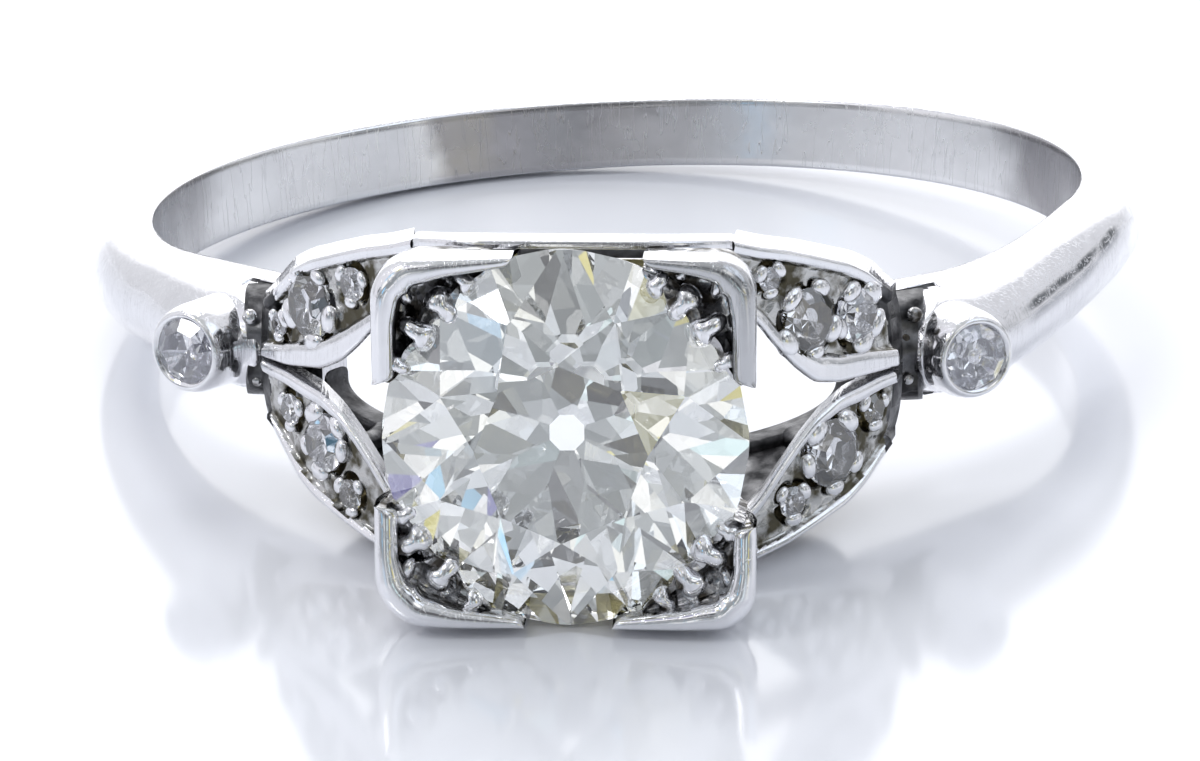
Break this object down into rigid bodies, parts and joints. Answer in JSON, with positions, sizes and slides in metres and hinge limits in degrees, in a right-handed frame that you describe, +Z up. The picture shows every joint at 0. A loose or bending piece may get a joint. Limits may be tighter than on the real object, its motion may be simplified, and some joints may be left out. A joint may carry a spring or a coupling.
{
  "type": "engagement ring",
  "caption": "Ring with a round old-cut diamond in a square claw head, split leaf shoulders set with small diamonds, a collet on each side and a plain polished band.",
  "frame": {"origin": "centre of the bounding box at table level, with the ring lying on its side as it rests: on the strap under its head and on the back of its band", "axes": "+Z up from the table; -Y towards the head and the large stone; +Y towards the back of the band; X across the head. The finger's axis leans 6.5 degrees from Z towards -Y."},
  "size_m": [0.0198, 0.0252, 0.0065],
  "materials": {
    "polished_metal": "white precious metal, hand polished, with fine wear scratches",
    "shaded_metal": "the same white metal inside the openwork, unpolished and darkened with age",
    "diamond": "clear faceted diamond with a faint warm tint",
    "small_diamond": "clear small diamonds with few facets"
  },
  "bodies": {
    "root": {"centre_diamond": "diamond", "head_seat_frame": "polished_metal", "left_collet": "polished_metal", "left_collet_diamond": "small_diamond", "left_lower_head_post": "shaded_metal", "left_lower_inner_diamond": "small_diamond", "left_lower_large_diamond": "small_diamond", "left_lower_leaf": "polished_metal", "left_lower_leaf_post": "shaded_metal", "left_lower_tip_diamond": "small_diamond", "left_upper_head_post": "shaded_metal", "left_upper_inner_diamond": "small_diamond", "left_upper_large_diamond": "small_diamond", "left_upper_leaf": "polished_metal", "left_upper_leaf_post": "shaded_metal", "left_upper_tip_diamond": "small_diamond", "lower_base_rail": "shaded_metal", "lower_gallery_strap": "polished_metal", "lower_left_claw": "polished_metal", "lower_right_claw": "polished_metal", "right_collet": "polished_metal", "right_collet_diamond": "small_diamond", "right_lower_head_post": "shaded_metal", "right_lower_inner_diamond": "small_diamond", "right_lower_large_diamond": "small_diamond", "right_lower_leaf": "polished_metal", "right_lower_leaf_post": "shaded_metal", "right_lower_tip_diamond": "small_diamond", "right_upper_head_post": "shaded_metal", "right_upper_inner_diamond": "small_diamond", "right_upper_large_diamond": "small_diamond", "right_upper_leaf": "polished_metal", "right_upper_leaf_post": "shaded_metal", "right_upper_tip_diamond": "small_diamond", "shank": "polished_metal", "upper_base_rail": "shaded_metal", "upper_gallery_strap": "polished_metal", "upper_left_claw": "polished_metal", "upper_right_claw": "polished_metal"}
  },
  "joints": []
}
